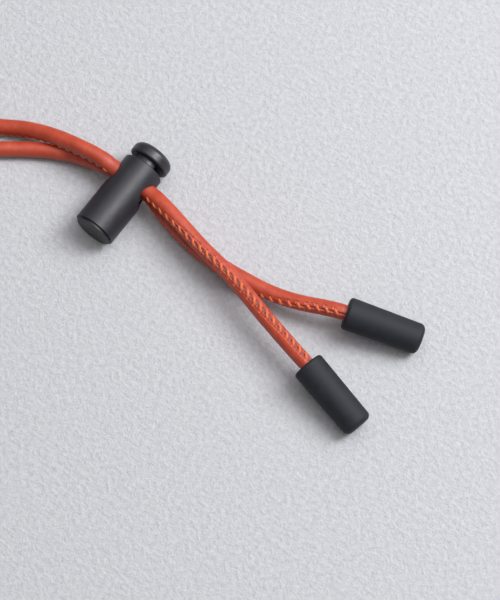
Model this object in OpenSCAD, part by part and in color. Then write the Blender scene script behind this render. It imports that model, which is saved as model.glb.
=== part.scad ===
// Round sprung cord lock on a rolled leather drawstring with two rubber cord ends.
// The barrel lies along Y on the surface z = 0, with its button toward +Y.
// The two free tails leave toward +X, and the loop of the drawstring toward -X.

/* [Barrel] */
// Outer diameter of the barrel
barrel_d = 13.9; // [13.7:0.1:14.4]
// Length of the barrel, from the closed end to the rim
barrel_length = 26.6; // [26:0.2:28]
// Wall between the bore and the outside
barrel_wall = 1.4; // [1.3:0.05:1.5]
// Thickness of the closed end
barrel_floor = 1.6; // [1.2:0.1:2]
// Radius of the edge around the closed end
closed_edge_r = 0.85; // [0.5:0.05:1]
// Radius of the edge around the rim
rim_edge_r = 0.55; // [0.3:0.05:0.6]
// Roll of the lock about its own axis, which lowers the tails' side
lock_roll = 3; // [0:1:5]

/* [Plunger] */
// Radial clearance between the plunger and the bore
running_gap = 0.05; // [0.03:0.01:0.1]
// Length of the guided body inside the barrel
guide_length = 10; // [9:0.5:10]
// Diameter of the neck above the guided body
neck_d = 10; // [9.8:0.1:10.2]
// Diameter of the button
head_d = 13.9; // [13.5:0.1:14.1]
// Height of the button, over its dome
head_h = 4.9; // [4.7:0.1:5.1]
// Gap between the rim and the button at rest
head_gap = 2; // [2:0.1:2.4]
// Width of the slot that opens the plunger's cord hole up to the button
slot_w = 7.6; // [7:0.1:8]

/* [Cord holes] */
// Diameter of the cord hole in the barrel and in the plunger
cord_hole_d = 9.2; // [9.2:0.05:9.4]
// Distance from the rim to the centre of the barrel's cord hole
hole_from_rim = 7.4; // [7.2:0.1:7.6]
// How far the plunger's hole sits beyond the barrel's hole at rest
hole_offset = 3.1; // [2.8:0.05:3.1]

/* [Spring] */
// Diameter of the spring wire
wire_d = 0.8; // [0.6:0.1:0.9]
// Mean diameter of the coils
coil_d = 8; // [7.4:0.1:8.4]
// Number of turns, with one closed turn at each end
coil_turns = 7; // [6:1:8]

/* [Cord] */
// Diameter of the rolled leather cord
cord_d = 5; // [4.6:0.1:5]
// Thickness of each cord where the two are squeezed in the lock
squeezed_h = 3.6; // [3.2:0.1:3.6]

/* [Cord ends] */
// Length of a cord end
end_length = 25; // [24:0.2:26]
// Diameter of a cord end at its mouth
end_mouth_d = 10.4; // [10:0.1:10.8]
// Diameter of a cord end at its closed end
end_tip_d = 9.8; // [9.4:0.1:10]
// Radius of the edge around the closed end
end_tip_r = 1.8; // [1.4:0.1:2]
// Radius of the edge around the mouth
end_mouth_r = 1; // [0.6:0.1:1.2]
// Depth of the socket that the cord is cemented in
socket_depth = 12; // [10:0.5:14]
// Slope of a cord end, with its mouth held up by the cord
end_slope = 9; // [7:0.5:10]

/* [Hidden] */
$fn = 96;

charcoal = [0.13, 0.13, 0.14];
button_charcoal = [0.16, 0.16, 0.17];
steel = [0.7, 0.7, 0.72];
orange_leather = [0.72, 0.25, 0.13];
black_rubber = [0.09, 0.09, 0.1];

cut = 1;                    // how far a cutter runs past the face it cuts
edge_chamfer = 0.4;         // small lead-in chamfers on the bore and the plunger
end_play = 0.04;            // space at each end of the spring

// The lock's own frame has its axis along Z, and its middle at the origin.
lock_length = barrel_length + head_gap + head_h;
lock_bottom = -lock_length / 2;
rim_z = lock_bottom + barrel_length;
bore_floor_z = lock_bottom + barrel_floor;
bore_r = barrel_d / 2 - barrel_wall;
hole_z = rim_z - hole_from_rim;

plunger_hole_z = hole_z + hole_offset;
head_z = rim_z + head_gap;
head_top_z = head_z + head_h;
guide_r = bore_r - running_gap;
guide_z = rim_z - head_gap - guide_length;
slot_top_z = head_z - 0.2;

// The button's dome is a large sphere that blends into a rounded shoulder.
dome_r = 22;
shoulder_r = 2.2;
head_edge_r = 0.7;
shoulder_at = head_d / 2 - shoulder_r;
dome_centre_z = head_top_z - dome_r;
shoulder_z = dome_centre_z + sqrt(pow(dome_r - shoulder_r, 2) - pow(shoulder_at, 2));
blend_r = shoulder_at * dome_r / (dome_r - shoulder_r);
dome_steps = 8;

boss_d = 5.6;               // bosses that centre the spring
boss_h = 1.6;

// Each squeezed cord runs straight through the lock, side by side across the hole.
stack_z = hole_z + hole_offset / 2;
stack_half = squeezed_h / 2;
straight_run = 7.5;

cord_sides = 12;
wire_sides = 8;
rings_per_turn = 24;
socket_gap = 0.05;

// Each cord end is [x and y of its mouth, heading].
right_end = [80.5, -12.8, -13];
left_end = [80.2, 8.1, 18.5];

// Route points are [x, y, z], with the cord's thickness where it is still squeezed.
right_route = [
    [12, 3.2, 9, 4.4], [19, 1.6, 9.3], [26, -0.1, 9.3], [33, -1.6, 9.3],
    [40, -2.8, 9.3], [46.5, -4.1, 9.2], [53, -5.8, 9.1], [60, -7.8, 9],
    [67, -9.6, 8.9], [74, -11.3, 8.7]
];
left_route = [
    [11.5, 2.7, 4.6, 4.4], [18, 1, 4.2], [25, -0.4, 4.1], [32.5, -1.2, 4],
    [40, -1.1, 4], [47, -0.6, 4.2], [54, 0.1, 4.7], [60.5, 1.3, 5.5],
    [67, 3.2, 6.6], [74, 5.9, 7.8]
];
loop_route = [
    [-12, 4, 9.4, 4.4], [-18.5, 3.4, 9], [-25.5, 2.6, 7.6], [-33, 1.2, 5.8],
    [-40, -1, 4], [-47.5, -4.9, 2.9], [-57, -9.2, 2.6], [-67, -11.6, 2.6],
    [-79, -12, 2.6], [-90, -12.8, 2.6], [-98.5, -17.5, 2.6], [-102, -26, 2.6],
    [-98, -34, 2.6], [-89, -37.5, 2.6], [-79, -35.5, 2.6], [-68.5, -30, 2.6],
    [-58, -22.8, 2.6], [-49.5, -16.3, 2.6], [-42, -10.6, 2.6], [-35.5, -5.9, 2.6],
    [-29, -1.9, 2.8], [-22.5, 1, 3.3], [-16.5, 2.7, 4.2], [-11.5, 3.6, 4.9, 4.4]
];

// Turns the lock's own frame into the part's: its axis to +Y, rolled, and resting on z = 0.
module lock_place() {
    translate([0, 0, barrel_d / 2])
        rotate([0, lock_roll, 0])
            rotate([-90, 0, 0])
                children();
}

// A cutter for a cord hole, along the lock's X axis at height z.
module cord_hole(z) {
    translate([0, 0, z])
        rotate([0, 90, 0])
            cylinder(d = cord_hole_d, h = barrel_d + 2 * cut, center = true);
}

// Half section of a round bar with a rounded edge at each end.
module bar_section(r, z0, z1, low_r, high_r) {
    translate([0, z0 + low_r])
        square([r, z1 - z0 - low_r - high_r]);
    translate([0, z0])
        square([r - low_r, low_r + high_r]);
    translate([0, z1 - high_r])
        square([r - high_r, high_r]);
    intersection() {
        translate([r - low_r, z0 + low_r])
            circle(low_r);
        square([2 * r, 4 * r], center = true);
    }
    intersection() {
        translate([r - high_r, z1 - high_r])
            circle(high_r);
        square([2 * r, 4 * lock_length], center = true);
    }
}

module barrel() {
    color(charcoal)
        lock_place()
            difference() {
                rotate_extrude()
                    bar_section(barrel_d / 2, lock_bottom, rim_z, closed_edge_r, rim_edge_r);
                difference() {
                    translate([0, 0, bore_floor_z])
                        cylinder(r = bore_r, h = barrel_length);
                    translate([0, 0, bore_floor_z - cut])
                        cylinder(d = boss_d, h = boss_h + cut);
                }
                translate([0, 0, rim_z - edge_chamfer])
                    cylinder(r1 = bore_r, r2 = bore_r + edge_chamfer, h = edge_chamfer);
                cord_hole(hole_z);
            }
}

// Half section of the button: a flat underside, a rounded shoulder and a shallow dome.
module head_section() {
    dome = [for (i = [0 : dome_steps])
        let (r = blend_r * i / dome_steps)
            [r, dome_centre_z + sqrt(dome_r * dome_r - r * r)]];
    shoulder_start = 90 - asin(blend_r / dome_r);
    shoulder = [for (i = [1 : dome_steps])
        let (a = shoulder_start * (1 - i / dome_steps))
            [shoulder_at + shoulder_r * cos(a), shoulder_z + shoulder_r * sin(a)]];
    edge = [for (i = [0 : dome_steps])
        let (a = -90 * i / dome_steps)
            [head_d / 2 - head_edge_r + head_edge_r * cos(a),
             head_z + head_edge_r + head_edge_r * sin(a)]];
    polygon(concat([[0, head_z]], dome, shoulder, edge));
}

module plunger() {
    color(button_charcoal)
        lock_place()
            difference() {
                union() {
                    translate([0, 0, guide_z])
                        cylinder(r1 = guide_r - edge_chamfer, r2 = guide_r, h = edge_chamfer);
                    translate([0, 0, guide_z + edge_chamfer])
                        cylinder(r = guide_r, h = guide_length - edge_chamfer);
                    translate([0, 0, guide_z + guide_length - cut])
                        cylinder(d = neck_d, h = head_z - guide_z - guide_length + 2 * cut);
                    translate([0, 0, guide_z - boss_h])
                        cylinder(d = boss_d, h = boss_h + cut);
                    rotate_extrude()
                        head_section();
                }
                cord_hole(plunger_hole_z);
                translate([-barrel_d, -slot_w / 2, plunger_hole_z])
                    cube([2 * barrel_d, slot_w, slot_top_z - plunger_hole_z]);
            }
}

function unit(v) = v / norm(v);

// Triangles between neighbouring rings of the same size, with a fan over each end.
function skin_faces(rings, sides) = concat(
    [for (i = [0 : rings - 2], k = [0 : sides - 1])
        let (a = i * sides + k, b = i * sides + (k + 1) % sides)
            [a, b, b + sides]],
    [for (i = [0 : rings - 2], k = [0 : sides - 1])
        let (a = i * sides + k, b = i * sides + (k + 1) % sides)
            [a, b + sides, a + sides]],
    [[for (k = [0 : sides - 1]) sides - 1 - k]],
    [[for (k = [0 : sides - 1]) (rings - 1) * sides + k]]
);

// The height of the coil after some turns: the first and last turn lie closed.
spring_length = guide_z - bore_floor_z - 2 * end_play;
closed_rise = wire_d;
open_rise = (spring_length - wire_d - 2 * closed_rise) / (coil_turns - 2);
function coil_height(turn) =
    turn < 1 ? turn * closed_rise
    : turn < coil_turns - 1 ? closed_rise + (turn - 1) * open_rise
    : closed_rise + (coil_turns - 2) * open_rise + (turn - coil_turns + 1) * closed_rise;

module spring() {
    rings = coil_turns * rings_per_turn + 1;
    points = [for (i = [0 : rings - 1], k = [0 : wire_sides - 1])
        let (turn = i / rings_per_turn,
             around = 360 * turn,
             across = -360 * k / wire_sides,
             r = coil_d / 2 + wire_d / 2 * cos(across))
            [r * cos(around), r * sin(around),
             coil_height(turn) + wire_d / 2 * sin(across)]];
    color(steel)
        lock_place()
            translate([0, 0, bore_floor_z + end_play + wire_d / 2])
                polyhedron(points, skin_faces(rings, wire_sides));
}

// A point of a squeezed cord in the lock: along the hole, and up or down across it.
function in_lock(along, across) = [
    along * cos(lock_roll) + across * sin(lock_roll),
    stack_z,
    barrel_d / 2 - along * sin(lock_roll) + across * cos(lock_roll),
    squeezed_h
];

// The height of a cord end's axis at its mouth, with the rounded tip resting on z = 0.
end_axis_z = end_tip_r + (end_tip_d / 2 - end_tip_r) * cos(end_slope)
    + (end_length - end_tip_r) * sin(end_slope);

// A point on a cord end's axis, at some depth inside its mouth.
function in_end(end, depth) = [
    end[0] + depth * cos(end_slope) * cos(end[2]),
    end[1] + depth * cos(end_slope) * sin(end[2]),
    end_axis_z - depth * sin(end_slope)
];

// The rings of a cord: each one is upright, and as thin as its route point says.
function cord_points(route) = let (last = len(route) - 1)
    [for (i = [0 : last], k = [0 : cord_sides - 1])
        let (here = [route[i][0], route[i][1], route[i][2]],
             before = route[max(i - 1, 0)],
             after = route[min(i + 1, last)],
             forward = unit([after[0] - before[0], after[1] - before[1], after[2] - before[2]]),
             side = unit(cross([0, 0, 1], forward)),
             up = cross(forward, side),
             thickness = len(route[i]) > 3 ? route[i][3] : cord_d,
             a = 360 * (k + 0.5) / cord_sides)
            here + side * cord_d / 2 * cos(a) + up * thickness / 2 * sin(a)];

module cord(route) {
    color(orange_leather)
        polyhedron(cord_points(route), skin_faces(len(route), cord_sides));
}

module cord_loop() {
    cord(concat(
        [in_lock(0, stack_half), in_lock(-straight_run, stack_half)],
        loop_route,
        [in_lock(-straight_run, -stack_half), in_lock(0, -stack_half)]
    ));
}

// A tail runs from the middle of the lock to the bottom of its cord end's socket.
module tail(across, route, end) {
    cord(concat(
        [in_lock(0, across), in_lock(straight_run, across)],
        route,
        [in_end(end, 0), in_end(end, socket_depth)]
    ));
}

module cord_right() {
    tail(stack_half, right_route, right_end);
}

module cord_left() {
    tail(-stack_half, left_route, left_end);
}

// Half section of a cord end: a tapered cup wall with both edges rounded.
module end_section() {
    mouth_r = end_mouth_d / 2;
    tip_r = end_tip_d / 2;
    polygon([
        [0, 0], [mouth_r - end_mouth_r, 0], [mouth_r, end_mouth_r],
        [tip_r, end_length - end_tip_r], [tip_r - end_tip_r, end_length], [0, end_length]
    ]);
    translate([mouth_r - end_mouth_r, end_mouth_r])
        circle(end_mouth_r);
    translate([tip_r - end_tip_r, end_length - end_tip_r])
        circle(end_tip_r);
}

module cord_end(end) {
    color(black_rubber)
        translate(in_end(end, 0))
            rotate([0, 90 + end_slope, end[2]])
                difference() {
                    rotate_extrude()
                        end_section();
                    translate([0, 0, -cut])
                        cylinder(d = cord_d + 2 * socket_gap, h = socket_depth + cut);
                }
}

module cord_end_right() {
    cord_end(right_end);
}

module cord_end_left() {
    cord_end(left_end);
}

barrel();
plunger();
spring();
cord_loop();
cord_right();
cord_left();
cord_end_right();
cord_end_left();
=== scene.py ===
import math

import bpy
import numpy as np
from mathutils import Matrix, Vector, noise


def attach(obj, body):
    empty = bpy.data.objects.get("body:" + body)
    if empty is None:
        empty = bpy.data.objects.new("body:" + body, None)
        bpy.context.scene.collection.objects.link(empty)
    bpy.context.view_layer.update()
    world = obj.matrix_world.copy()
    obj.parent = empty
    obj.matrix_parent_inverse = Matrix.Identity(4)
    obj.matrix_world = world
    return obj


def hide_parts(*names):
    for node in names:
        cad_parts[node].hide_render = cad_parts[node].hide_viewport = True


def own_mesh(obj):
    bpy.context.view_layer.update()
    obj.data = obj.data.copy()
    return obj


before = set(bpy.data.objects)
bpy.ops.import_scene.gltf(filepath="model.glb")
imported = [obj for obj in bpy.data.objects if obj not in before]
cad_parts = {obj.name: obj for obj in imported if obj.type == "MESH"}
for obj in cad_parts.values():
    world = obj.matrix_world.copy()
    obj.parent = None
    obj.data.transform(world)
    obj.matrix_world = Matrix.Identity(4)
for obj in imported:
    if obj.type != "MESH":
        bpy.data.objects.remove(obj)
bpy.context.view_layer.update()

MM = 0.001
scene = bpy.context.scene


# ---------------------------------------------------------------- sizes in mm, as in the part's source

BARREL_D = 13.9
LOCK_ROLL = math.radians(3)      # lowers the tails' side
STACK_Y = 4.0                    # where the two squeezed cords lie along the lock
SQUEEZED_H = 3.6                 # thickness of each cord in the lock
STACK_HALF = SQUEEZED_H / 2
STRAIGHT_RUN = 7.5
CORD_D = 5.0

END_LENGTH = 25.0
END_TIP_D = 9.8
END_TIP_R = 1.8
END_SLOPE = math.radians(9)
SOCKET_DEPTH = 12.0
# Each cord end is (x and y of its mouth, heading).
RIGHT_END = (80.5, -12.8, math.radians(-13))
LEFT_END = (80.2, 8.1, math.radians(18.5))

# Route points are (x, y, z), with the cord's thickness where it is still squeezed.
RIGHT_ROUTE = [
    (12, 3.2, 9, 4.4), (19, 1.6, 9.3), (26, -0.1, 9.3), (33, -1.6, 9.3),
    (40, -2.8, 9.3), (46.5, -4.1, 9.2), (53, -5.8, 9.1), (60, -7.8, 9),
    (67, -9.6, 8.9), (74, -11.3, 8.7),
]
LEFT_ROUTE = [
    (11.5, 2.7, 4.6, 4.4), (18, 1, 4.2), (25, -0.4, 4.1), (32.5, -1.2, 4),
    (40, -1.1, 4), (47, -0.6, 4.2), (54, 0.1, 4.7), (60.5, 1.3, 5.5),
    (67, 3.2, 6.6), (74, 5.9, 7.8),
]
LOOP_ROUTE = [
    (-12, 4, 9.4, 4.4), (-18.5, 3.4, 9), (-25.5, 2.6, 7.6), (-33, 1.2, 5.8),
    (-40, -1, 4), (-47.5, -4.9, 2.9), (-57, -9.2, 2.6), (-67, -11.6, 2.6),
    (-79, -12, 2.6), (-90, -12.8, 2.6), (-98.5, -17.5, 2.6), (-102, -26, 2.6),
    (-98, -34, 2.6), (-89, -37.5, 2.6), (-79, -35.5, 2.6), (-68.5, -30, 2.6),
    (-58, -22.8, 2.6), (-49.5, -16.3, 2.6), (-42, -10.6, 2.6), (-35.5, -5.9, 2.6),
    (-29, -1.9, 2.8), (-22.5, 1, 3.3), (-16.5, 2.7, 4.2), (-11.5, 3.6, 4.9, 4.4),
]


# ---------------------------------------------------------------- the drawstring's build, in mm

# A leather strip is rolled round a core, and its edges are sewn together across a narrow gap.
CORD_R = CORD_D / 2
GIRTH = math.pi * CORD_D
SLEEVE_T = 0.85                  # thickness of the leather
CORE_R = 1.6
CORE_BULGE_R = 2.34              # how far out the core bulges into the gap
BULGE_FILL = 0.92                # share of the gap that the bulge fills
BULGE_FALL = 0.12                # how much lower its sides are than its middle
CORE_STRAND = (0.04, 0.5, 1.1)   # height of its strands, and their pitch round and along it

# Where the seam is open the stitches lie along the cord, and where it is closed they cross it.
# Each pair is the distance from a cut edge to its stitch holes, and how far a stitch runs along.
OPEN_STITCH = (0.55, 2.4)
CLOSED_STITCH = (0.95, 1.6)
STITCH_PITCH = 3.0
FIRST_TAIL_STITCH = 7.3          # from the lock's middle
FIRST_LOOP_STITCH = 7.8
LAST_STITCH_GAP = 0.6            # least distance from the last stitch to the hidden far end
THREAD_R = 0.44
THREAD_WIDTH = 1.1               # its section, against a round one of that radius
THREAD_HEIGHT = 0.8
THREAD_TWIST = (0.1, 0.9)        # depth of its strands, and their turn from ring to ring
THREAD_SINK = 0.75               # how far below the leather's surface a stitch starts
THREAD_RISE = 0.84               # how far it rises from there, give or take the next
RISE_SPREAD = 0.06

# Relief of the leather. Each pair is a depth or height, and how far it reaches to either side.
CREASE = (0.08, 0.13)
CREASE_BEYOND = 0.32             # from the stitch holes to the crease beside them
HOLE = (0.36, 0.32)
HOLE_RIM = (0.08, 0.26)
HOLE_RIM_R = 0.66
SWELL = 0.05                     # height of the slow unevenness
WRINKLE = 0.03                   # height of the fine one

FLOOR_CLEARANCE = 0.03
IN_LOCK_SCALE = 0.965            # the leather is squeezed a little tighter in the lock
IN_LOCK_END = 8.0                # from the lock's middle to where the cord is clear of it
OUT_OF_LOCK = 2.5                # over this length the relief grows once the cord is clear
INTO_END = (0.3, 1.5)            # it fades between these distances from the hidden far end
SEAM_SMOOTHING = 4.0             # half the length that the seam's turns are averaged over
RING_STEP = 0.2
SAMPLES_PER_SPAN = 40            # curve samples between two route points


# ---------------------------------------------------------------- camera

VIEW_AZIMUTH = math.radians(36.5)
VIEW_ELEVATION = math.radians(70)
VIEW_DISTANCE = 0.9              # this and the next two are in metres
FRAME_HEIGHT = 0.1875            # what the picture's height spans at the aim point
AIM = Vector((0.053, -0.0052, 0.005))


def make_camera():
    data = bpy.data.cameras.new("camera")
    # The sensor's width covers the longer side of the picture, which is its height.
    data.sensor_width = 36
    data.lens = data.sensor_width * VIEW_DISTANCE / FRAME_HEIGHT
    data.clip_start = 0.05
    data.clip_end = 10
    camera = bpy.data.objects.new("camera", data)
    scene.collection.objects.link(camera)
    looks = Vector((
        -math.sin(VIEW_AZIMUTH) * math.cos(VIEW_ELEVATION),
        math.cos(VIEW_AZIMUTH) * math.cos(VIEW_ELEVATION),
        -math.sin(VIEW_ELEVATION),
    ))
    camera.location = AIM - looks * VIEW_DISTANCE
    camera.rotation_euler = looks.to_track_quat("-Z", "Y").to_euler()
    scene.camera = camera


make_camera()
scene.view_settings.view_transform = "Standard"


# ---------------------------------------------------------------- node helpers

def shader_of(material):
    return material.node_tree.nodes["Principled BSDF"]


def new_material(name, colour, roughness, **sockets):
    """A Principled material; sockets are given by name, with _ for a space."""
    material = bpy.data.materials.new(name)
    material.use_nodes = True
    shader = shader_of(material)
    shader.inputs["Base Color"].default_value = (*colour, 1)
    shader.inputs["Roughness"].default_value = roughness
    for key, value in sockets.items():
        shader.inputs[key.replace("_", " ")].default_value = value
    return material


def add_node(material, kind, **values):
    """A new node; values go to its inputs, or to its properties where it has no such input."""
    node = material.node_tree.nodes.new(kind)
    for key, value in values.items():
        if key in node.inputs:
            node.inputs[key].default_value = value
        else:
            setattr(node, key, value)
    return node


def link(material, a, out, b, into):
    material.node_tree.links.new(a.outputs[out], b.inputs[into])


def noise_node(material, scale, detail, roughness=0.5):
    """Noise in object coordinates, with scale in cycles per metre."""
    place = add_node(material, "ShaderNodeTexCoord")
    node = add_node(material, "ShaderNodeTexNoise", Scale=scale, Detail=detail, Roughness=roughness)
    link(material, place, "Object", node, "Vector")
    return node


def ramp_node(material, source, stops):
    """A colour ramp from (position, colour) stops, fed by a noise node."""
    ramp = add_node(material, "ShaderNodeValToRGB")
    elements = ramp.color_ramp.elements
    while len(elements) < len(stops):
        elements.new(0.5)
    for element, (position, colour) in zip(elements, stops):
        element.position = position
        element.color = (*colour, 1)
    link(material, source, "Fac", ramp, "Fac")
    return ramp


def colour_by(material, source, stops):
    """Colours a material by a ramp of (position, colour) stops over a noise node."""
    ramp = ramp_node(material, source, stops)
    link(material, ramp, "Color", shader_of(material), "Base Color")


def add_bump(material, height, out, distance, strength, below=None):
    """A bump from a height output, laid over the bump node given as below."""
    bump = add_node(material, "ShaderNodeBump", Strength=strength, Distance=distance)
    link(material, height, out, bump, "Height")
    if below is not None:
        link(material, below, "Normal", bump, "Normal")
    link(material, bump, "Normal", shader_of(material), "Normal")
    return bump


def vary_roughness(material, source, low, high):
    """Lets a noise node move the roughness between low and high."""
    spread = add_node(material, "ShaderNodeMapRange")
    spread.inputs["To Min"].default_value = low
    spread.inputs["To Max"].default_value = high
    link(material, source, "Fac", spread, "Value")
    link(material, spread, "Result", shader_of(material), "Roughness")


# ---------------------------------------------------------------- materials

def plastic_material(name, colour, roughness):
    """Moulded nylon: a fine spark-eroded grain, faint flow marks and slight tone changes."""
    material = new_material(name, colour, roughness, Specular_IOR_Level=0.5)
    tone = noise_node(material, 260, detail=4)
    dark = tuple(c * 0.86 for c in colour)
    light = tuple(c * 1.16 for c in colour)
    colour_by(material, tone, [(0.3, dark), (0.7, light)])
    grain = noise_node(material, 5200, detail=2)
    vary_roughness(material, tone, roughness - 0.06, roughness + 0.08)
    flow = noise_node(material, 700, detail=2)
    first = add_bump(material, flow, "Fac", 0.00006, 0.5)
    add_bump(material, grain, "Fac", 0.00002, 0.55, below=first)
    return material


def rubber_material():
    """Moulded rubber: matte, with a fine dusty grain."""
    material = new_material("cord_end_rubber", (0.012, 0.013, 0.018), 0.7, Specular_IOR_Level=0.4)
    tone = noise_node(material, 420, detail=5)
    colour_by(material, tone, [(0.3, (0.009, 0.010, 0.014)), (0.72, (0.015, 0.016, 0.023))])
    vary_roughness(material, tone, 0.64, 0.78)
    grain = noise_node(material, 4200, detail=3)
    add_bump(material, grain, "Fac", 0.00003, 0.5)
    return material


def steel_material():
    """Drawn spring wire, with a fine uneven shine."""
    material = new_material("spring_steel", (0.55, 0.55, 0.57), 0.3, Metallic=1.0)
    tone = noise_node(material, 1800, detail=4)
    colour_by(material, tone, [(0.3, (0.42, 0.41, 0.41)), (0.7, (0.66, 0.66, 0.68))])
    vary_roughness(material, tone, 0.22, 0.42)
    add_bump(material, tone, "Fac", 0.00001, 0.4)
    return material


# A Mix node's colour sockets share their names with others, so they go by number.
MIX_A = 6
MIX_B = 7
MIX_RESULT = 2


def leather_material():
    """Smooth dyed leather: pores, fine creases and a mottled dye, with a paler raw edge."""
    material = new_material("leather", (0.40, 0.045, 0.019), 0.46, Specular_IOR_Level=0.55)
    dye = noise_node(material, 210, detail=5, roughness=0.62)
    ramp = ramp_node(material, dye, [
        (0.28, (0.33, 0.034, 0.012)), (0.52, (0.42, 0.049, 0.019)), (0.74, (0.50, 0.070, 0.030)),
    ])
    # The raw edge of the strip is a point attribute: 1 on the cut edge, 0 on the grain side.
    edge = add_node(material, "ShaderNodeAttribute", attribute_name="raw_edge")
    mix = add_node(material, "ShaderNodeMix", data_type="RGBA")
    link(material, edge, "Fac", mix, "Factor")
    link(material, ramp, "Color", mix, MIX_A)
    mix.inputs[MIX_B].default_value = (0.48, 0.14, 0.10, 1)
    link(material, mix, MIX_RESULT, shader_of(material), "Base Color")
    vary_roughness(material, dye, 0.38, 0.54)
    crease = noise_node(material, 1300, detail=5, roughness=0.65)
    pores = add_node(material, "ShaderNodeTexVoronoi", Scale=4200.0)
    place = add_node(material, "ShaderNodeTexCoord")
    link(material, place, "Object", pores, "Vector")
    first = add_bump(material, crease, "Fac", 0.00012, 0.6)
    add_bump(material, pores, "Distance", 0.00003, 0.35, below=first)
    return material


def fibre_material(name, dark, light, roughness):
    """Matte fibres with an uneven tone."""
    material = new_material(name, light, roughness, Sheen_Weight=0.1, Sheen_Roughness=0.6)
    tone = noise_node(material, 2600, detail=4)
    colour_by(material, tone, [(0.3, dark), (0.7, light)])
    add_bump(material, tone, "Fac", 0.00006, 0.7)
    return material


LEATHER = leather_material()
CORE = fibre_material("core", (0.17, 0.034, 0.034), (0.34, 0.095, 0.085), 0.85)
THREAD = fibre_material("thread", (0.50, 0.080, 0.020), (0.74, 0.160, 0.045), 0.6)


# ---------------------------------------------------------------- routes

def in_lock(along, across):
    """A point of a squeezed cord in the lock: along the hole, and up or down across it."""
    return (
        along * math.cos(LOCK_ROLL) + across * math.sin(LOCK_ROLL),
        STACK_Y,
        BARREL_D / 2 - along * math.sin(LOCK_ROLL) + across * math.cos(LOCK_ROLL),
        SQUEEZED_H,
    )


def in_end(end, depth):
    """A point on a cord end's axis, at some depth inside its mouth."""
    height = END_TIP_R + (END_TIP_D / 2 - END_TIP_R) * math.cos(END_SLOPE)
    height += (END_LENGTH - END_TIP_R) * math.sin(END_SLOPE)
    return (
        end[0] + depth * math.cos(END_SLOPE) * math.cos(end[2]),
        end[1] + depth * math.cos(END_SLOPE) * math.sin(end[2]),
        height - depth * math.sin(END_SLOPE),
    )


def tail_route(across, route, end):
    """A tail's points, from the middle of the lock to the bottom of its cord end's socket."""
    start = [in_lock(0, across), in_lock(STRAIGHT_RUN, across)]
    return start + route + [in_end(end, 0), in_end(end, SOCKET_DEPTH)]


def loop_route():
    """The loop's points, out from the upper cord in the lock and back into the lower one."""
    start = [in_lock(0, STACK_HALF), in_lock(-STRAIGHT_RUN, STACK_HALF)]
    return start + LOOP_ROUTE + [in_lock(-STRAIGHT_RUN, -STACK_HALF), in_lock(0, -STACK_HALF)]


def smooth_path(route):
    """Evenly spaced samples (x, y, z, thickness) on a centripetal Catmull-Rom curve, and its length."""
    points = np.array([p if len(p) == 4 else (*p, CORD_D) for p in route], float)
    points = np.vstack([2 * points[0] - points[1], points, 2 * points[-1] - points[-2]])
    samples = []
    for p0, p1, p2, p3 in zip(points, points[1:], points[2:], points[3:]):
        t0 = 0.0
        t1 = t0 + np.linalg.norm((p1 - p0)[:3]) ** 0.5
        t2 = t1 + np.linalg.norm((p2 - p1)[:3]) ** 0.5
        t3 = t2 + np.linalg.norm((p3 - p2)[:3]) ** 0.5
        for t in np.linspace(t1, t2, SAMPLES_PER_SPAN, endpoint=False):
            a1 = p0 + (p1 - p0) * (t - t0) / (t1 - t0)
            a2 = p1 + (p2 - p1) * (t - t1) / (t2 - t1)
            a3 = p2 + (p3 - p2) * (t - t2) / (t3 - t2)
            b1 = a1 + (a2 - a1) * (t - t0) / (t2 - t0)
            b2 = a2 + (a3 - a2) * (t - t1) / (t3 - t1)
            samples.append(b1 + (b2 - b1) * (t - t1) / (t2 - t1))
    samples.append(points[-2])
    samples = np.array(samples)
    steps = np.linalg.norm(np.diff(samples[:, :3], axis=0), axis=1)
    reach = np.concatenate([[0], np.cumsum(steps)])
    length = reach[-1]
    even = np.linspace(0, length, int(length / RING_STEP) + 1)
    return np.column_stack([np.interp(even, reach, column) for column in samples.T]), length


def path_frames(path):
    """Unit vectors sideways and upwards at each sample of a path."""
    along = np.gradient(path[:, :3], axis=0)
    along /= np.linalg.norm(along, axis=1)[:, None]
    side = np.cross(np.array([0.0, 0.0, 1.0]), along)
    side /= np.linalg.norm(side, axis=1)[:, None]
    return side, np.cross(along, side)


def ease(value, start, end):
    """0 before start and 1 beyond end, with a smooth rise between them."""
    share = np.clip((value - start) / (end - start), 0, 1)
    return share * share * (3 - 2 * share)


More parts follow.
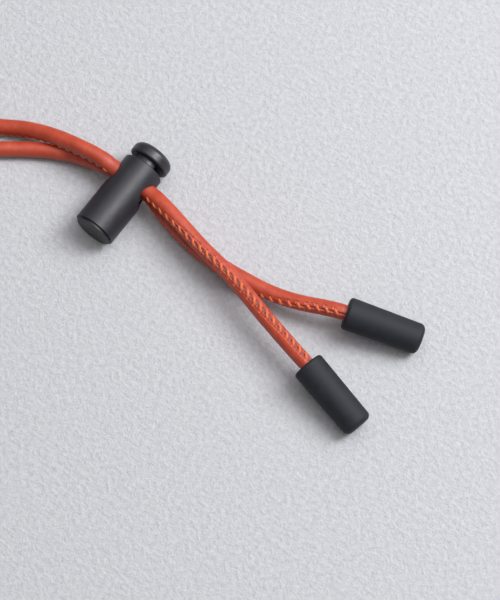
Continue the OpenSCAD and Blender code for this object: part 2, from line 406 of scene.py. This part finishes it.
class Cord:
    """One stretch of the drawstring. turns gives its seam at shares of its length: the angle in
    degrees from straight up, towards the left of its direction, and half the gap between the cut
    edges. hidden is how much of its far end is inside the lock or a cord end."""

    def __init__(self, name, route, turns, stitch, first_stitch, hidden):
        self.name = name
        self.edge, self.slant = stitch
        self.path, self.length = smooth_path(route)
        self.side, self.up = path_frames(self.path)
        self.reach = np.linspace(0, self.length, len(self.path))
        shares, angles, gaps = np.array(turns).T
        self.seam = self.spread(shares, np.radians(angles))
        self.gap = self.spread(shares, gaps)
        # The leather is smooth and a little tighter where it is inside the lock or a cord end.
        from_end = self.length - self.reach
        self.free = ease(self.reach, IN_LOCK_END, IN_LOCK_END + OUT_OF_LOCK)
        self.free *= ease(from_end, hidden + INTO_END[0], hidden + INTO_END[1])
        self.scale = IN_LOCK_SCALE + (1 - IN_LOCK_SCALE) * self.free
        last = self.length - hidden - self.slant - LAST_STITCH_GAP
        self.stitches = np.arange(first_stitch, last, STITCH_PITCH)

    def spread(self, shares, values):
        """Values at every sample of the path, smoothed over a few millimetres."""
        rough = np.interp(self.reach, shares * self.length, values)
        window = int(SEAM_SMOOTHING / RING_STEP)
        count = 2 * window + 1
        padded = np.pad(rough, window, mode="edge")
        return np.convolve(padded, np.ones(count) / count, mode="valid")

    def surface(self, index, around, radius):
        """A point radius mm out from the centreline at ring index, around mm round from the seam."""
        angle = self.seam[index] + around / CORD_R
        squeeze = self.path[index, 3] / CORD_D
        out = self.side[index] * math.sin(angle) + self.up[index] * math.cos(angle) * squeeze
        point = self.path[index, :3] + out * radius * self.scale[index]
        point[2] = max(point[2], FLOOR_CLEARANCE)
        return point

    def index_at(self, reach):
        last = len(self.path) - 1
        return int(np.clip(round(reach / self.length * last), 0, last))


def mesh_object(name, points, faces, material):
    """A smooth-shaded object from points in mm."""
    mesh = bpy.data.meshes.new(name)
    mesh.from_pydata([tuple(p * MM) for p in points], [], faces)
    mesh.update()
    mesh.materials.append(material)
    mesh.polygons.foreach_set("use_smooth", [True] * len(mesh.polygons))
    piece = bpy.data.objects.new(name, mesh)
    scene.collection.objects.link(piece)
    return piece


def tube_faces(rings, sides, first=0):
    """Faces between neighbouring rings of points, and over both ends, from point number first."""
    faces = []
    for i in range(rings - 1):
        for k in range(sides):
            a = first + i * sides + k
            b = first + i * sides + (k + 1) % sides
            faces.append((a, b, b + sides, a + sides))
    faces.append(tuple(first + sides - 1 - k for k in range(sides)))
    faces.append(tuple(first + (rings - 1) * sides + k for k in range(sides)))
    return faces


# ---------------------------------------------------------------- the drawstring

def sleeve_outline(gap, edge):
    """The leather's section as (around, depth, raw) mm: grain side, cut edges and flesh side."""
    holes = gap + edge
    lip = [
        (gap, 0.26, 1.0), (gap + 0.07, 0.12, 0.5), (gap + 0.16, 0.02, 0.0),
        (gap + 0.28, -0.05, 0.0), (gap + 0.42, -0.06, 0.0),
    ]
    # The steps are fine over the holes and the crease, and even over the rest of the half round.
    creased = [holes + step for step in (-0.06, 0.1, 0.22, 0.32, 0.42, 0.55, 0.75, 1.05, 1.4)]
    plain = np.linspace(creased[-1], GIRTH / 2, 14)[1:-1]
    left = lip + [(around, 0.0, 0.0) for around in [*creased, *plain]]
    right = [(-around, depth, raw) for around, depth, raw in reversed(left)]
    flesh = [
        (-gap, SLEEVE_T, 1.0), (-GIRTH / 4, SLEEVE_T, 0.0), (-GIRTH / 2, SLEEVE_T, 0.0),
        (GIRTH / 4, SLEEVE_T, 0.0), (gap, SLEEVE_T, 1.0),
    ]
    return left + [(GIRTH / 2, 0.0, 0.0)] + right + flesh


def ridge(away, height, reach):
    """The height, at some distance from its crest, of a soft ridge."""
    return height * math.exp(-(away / reach) ** 2)


def leather_relief(cord, index, around):
    """How far the leather stands out at a point: stitch holes, creases and uneven rolling."""
    reach = cord.reach[index]
    across = cord.gap[index] + cord.edge
    relief = -ridge(abs(around) - across - CREASE_BEYOND, *CREASE)
    # A stitch starts in a hole on the left of the seam, and ends in one on the right further on.
    start, shift = (across, 0.0) if around > 0 else (-across, cord.slant)
    nearest = np.argmin(np.abs(cord.stitches + shift - reach))
    away = math.hypot(reach - cord.stitches[nearest] - shift, around - start)
    relief += ridge(away - HOLE_RIM_R, *HOLE_RIM) - ridge(away, *HOLE)
    swell = noise.noise(Vector(cord.path[index, :3]) * 0.22 + Vector((0, 0, around * 0.15)))
    wrinkle = noise.noise(Vector((reach * 1.6, around * 0.35, 7.0)))
    return (relief + SWELL * swell + WRINKLE * wrinkle) * cord.free[index]


def make_sleeve(cord):
    """The rolled leather: creased, and dimpled at each stitch hole."""
    points = []
    raw_edge = []
    for index in range(len(cord.path)):
        outline = sleeve_outline(cord.gap[index], cord.edge)
        for around, depth, raw in outline:
            radius = CORD_R - depth
            if depth < SLEEVE_T:
                radius += leather_relief(cord, index, around)
            points.append(cord.surface(index, around, radius))
            raw_edge.append(raw)
    faces = tube_faces(len(cord.path), len(outline))
    piece = mesh_object(cord.name + "_sleeve", points, faces, LEATHER)
    attribute = piece.data.attributes.new("raw_edge", "FLOAT", "POINT")
    attribute.data.foreach_set("value", raw_edge)
    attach(piece, "lock_body")
    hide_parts(cord.name)
    return piece


def core_outline(gap):
    """The core's section as (around, radius) mm: round, with a bulge that fills the gap."""
    side = gap * BULGE_FILL
    shares = np.linspace(-1, 1, 9)
    bulge = [(side * share, CORE_BULGE_R - BULGE_FALL * share * share) for share in shares]
    rest = [(around, CORE_R) for around in np.linspace(side, GIRTH - side, 20)]
    return bulge + rest


def make_core(cord):
    """The soft core that shows between the leather's edges, as twisted strands."""
    rings = range(0, len(cord.path), 2)
    height, pitch_around, pitch_along = CORE_STRAND
    points = []
    for index in rings:
        outline = core_outline(cord.gap[index])
        for around, radius in outline:
            turn = around / pitch_around + cord.reach[index] / pitch_along
            strand = height * math.cos(2 * math.pi * turn)
            points.append(cord.surface(index, around, radius + strand))
    piece = mesh_object(cord.name + "_core", points, tube_faces(len(rings), len(outline)), CORE)
    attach(piece, "lock_body")
    return piece


def stitch_line(cord, start, steps):
    """The centreline of a stitch: up through a hole, across the seam and down again."""
    centres = []
    rise = THREAD_RISE + RISE_SPREAD * noise.noise(Vector((start, 3.1, 0.4)))
    for share in np.linspace(0, 1, steps + 1):
        index = cord.index_at(start + cord.slant * share)
        across = cord.gap[index] + cord.edge
        radius = CORD_R - THREAD_SINK + rise * math.sin(math.pi * share) ** 0.6
        centres.append(cord.surface(index, across * (1 - 2 * share), radius))
    return np.array(centres)


def make_thread(cord, name, places):
    """Whip stitches that start at these places along a cord, as flattened twisted tubes."""
    sides = 8
    steps = 18
    depth, turn = THREAD_TWIST
    points = []
    faces = []
    for start in places:
        first = len(points)
        centres = stitch_line(cord, start, steps)
        tangents = np.gradient(centres, axis=0)
        tangents /= np.linalg.norm(tangents, axis=1)[:, None]
        outward = centres[steps // 2] - cord.path[cord.index_at(start + cord.slant / 2), :3]
        for i in range(steps + 1):
            wide = np.cross(tangents[i], outward)
            wide /= np.linalg.norm(wide)
            high = np.cross(wide, tangents[i])
            for k in range(sides):
                a = 2 * math.pi * k / sides
                twist = 1 + depth * math.cos(2 * a + i * turn)
                ring = wide * math.cos(a) * THREAD_WIDTH + high * math.sin(a) * THREAD_HEIGHT
                point = centres[i] + ring * THREAD_R * twist
                point[2] = max(point[2], FLOOR_CLEARANCE)
                points.append(point)
        faces += tube_faces(steps + 1, sides, first)
    piece = mesh_object(name, points, faces, THREAD)
    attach(piece, "lock_body")
    return piece


def make_cord(cord):
    """Builds a stretch of the drawstring in place of the node of its name: its sleeve, two threads and
    core.
    """
    sleeve = make_sleeve(cord)
    half = len(cord.stitches) // 2
    pieces = [
        make_thread(cord, f"{cord.name}_thread_a", cord.stitches[:half]),
        make_thread(cord, f"{cord.name}_thread_b", cord.stitches[half:]),
        make_core(cord),
    ]
    print(cord.name, "length", round(cord.length, 1), "mm")


# Each seam is (share of the length, angle, half the gap), as a Cord takes it.
RIGHT_SEAM = [
    (0, -85, 0.15), (0.14, -78, 0.2), (0.2, -58, 0.3), (0.3, -40, 0.42), (0.4, -22, 0.5),
    (0.55, -3, 0.52), (0.7, 17, 0.5), (0.76, 27, 0.5), (1, 34, 0.45),
]
LEFT_SEAM = [
    (0, -120, 0.15), (0.3, -120, 0.15), (0.5, -100, 0.1), (0.62, -72, 0.1), (0.7, -48, 0.12),
    (0.77, -35, 0.18), (1, -35, 0.2),
]
LOOP_SEAM = [
    (0, 60, 0.08), (0.03, 90, 0.08), (0.06, 112, 0.08), (0.2, 115, 0.1), (0.5, 150, 0.25),
    (0.8, 165, 0.25), (1, 165, 0.25),
]

make_cord(
    Cord("cord_right", tail_route(STACK_HALF, RIGHT_ROUTE, RIGHT_END), RIGHT_SEAM, OPEN_STITCH,
         FIRST_TAIL_STITCH, SOCKET_DEPTH),
)
make_cord(
    Cord("cord_left", tail_route(-STACK_HALF, LEFT_ROUTE, LEFT_END), LEFT_SEAM, CLOSED_STITCH,
         FIRST_TAIL_STITCH, SOCKET_DEPTH),
)
make_cord(
    Cord("cord_loop", loop_route(), LOOP_SEAM, OPEN_STITCH, FIRST_LOOP_STITCH, IN_LOCK_END),
)


# ---------------------------------------------------------------- the lock and the cord ends

def dress(node, material):
    """Gives a CAD node its material."""
    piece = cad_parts[node]
    piece.data.materials.clear()
    piece.data.materials.append(material)


dress("barrel", plastic_material("barrel_plastic", (0.017, 0.016, 0.022), 0.46))
dress("plunger", plastic_material("button_plastic", (0.022, 0.022, 0.027), 0.38))
dress("spring", steel_material())
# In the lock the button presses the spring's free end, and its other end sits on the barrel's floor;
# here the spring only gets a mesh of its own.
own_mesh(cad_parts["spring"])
rubber = rubber_material()
dress("cord_end_right", rubber)
dress("cord_end_left", rubber)


# ---------------------------------------------------------------- stage and lights

FLOOR_HALF = 3.0                 # this and the light distance are in metres
LIGHT_DISTANCE = 1.2
LIGHT_TARGET = Vector((0.03, 0, 0))


def make_floor():
    """A plain pale card with a fine tooth."""
    material = new_material("floor_card", (0.51, 0.51, 0.535), 0.9)
    tooth = noise_node(material, 620, detail=7, roughness=0.72)
    colour_by(material, tooth, [(0.32, (0.44, 0.44, 0.465)), (0.68, (0.58, 0.58, 0.605))])
    add_bump(material, tooth, "Fac", 0.0009, 0.9)
    half = FLOOR_HALF
    corners = [(-half, -half, 0), (half, -half, 0), (half, half, 0), (-half, half, 0)]
    mesh = bpy.data.meshes.new("floor")
    mesh.from_pydata(corners, [], [(0, 1, 2, 3)])
    mesh.materials.append(material)
    floor = bpy.data.objects.new("floor", mesh)
    scene.collection.objects.link(floor)


def make_light(name, azimuth, elevation, size, power, colour):
    """A soft rectangular light that faces the object, azimuth degrees round from +X."""
    data = bpy.data.lights.new(name, "AREA")
    data.shape = "RECTANGLE"
    data.size, data.size_y = size
    data.energy = power
    data.color = colour
    light = bpy.data.objects.new(name, data)
    scene.collection.objects.link(light)
    azimuth, elevation = math.radians(azimuth), math.radians(elevation)
    away = Vector((
        math.cos(azimuth) * math.cos(elevation),
        math.sin(azimuth) * math.cos(elevation),
        math.sin(elevation),
    ))
    light.location = LIGHT_TARGET + away * LIGHT_DISTANCE
    light.rotation_euler = (-away).to_track_quat("-Z", "Y").to_euler()


def make_world(colour, strength):
    world = bpy.data.worlds.new("studio")
    world.use_nodes = True
    background = world.node_tree.nodes["Background"]
    background.inputs["Color"].default_value = (*colour, 1)
    background.inputs["Strength"].default_value = strength
    scene.world = world


make_floor()
make_light("key_light", azimuth=52, elevation=53, size=(0.42, 0.8), power=15, colour=(0.96, 0.985, 1.0))
make_light("fill_light", azimuth=70, elevation=72, size=(1.8, 1.8), power=14, colour=(1.0, 0.99, 0.98))
make_world((0.96, 0.96, 1.0), 0.19)
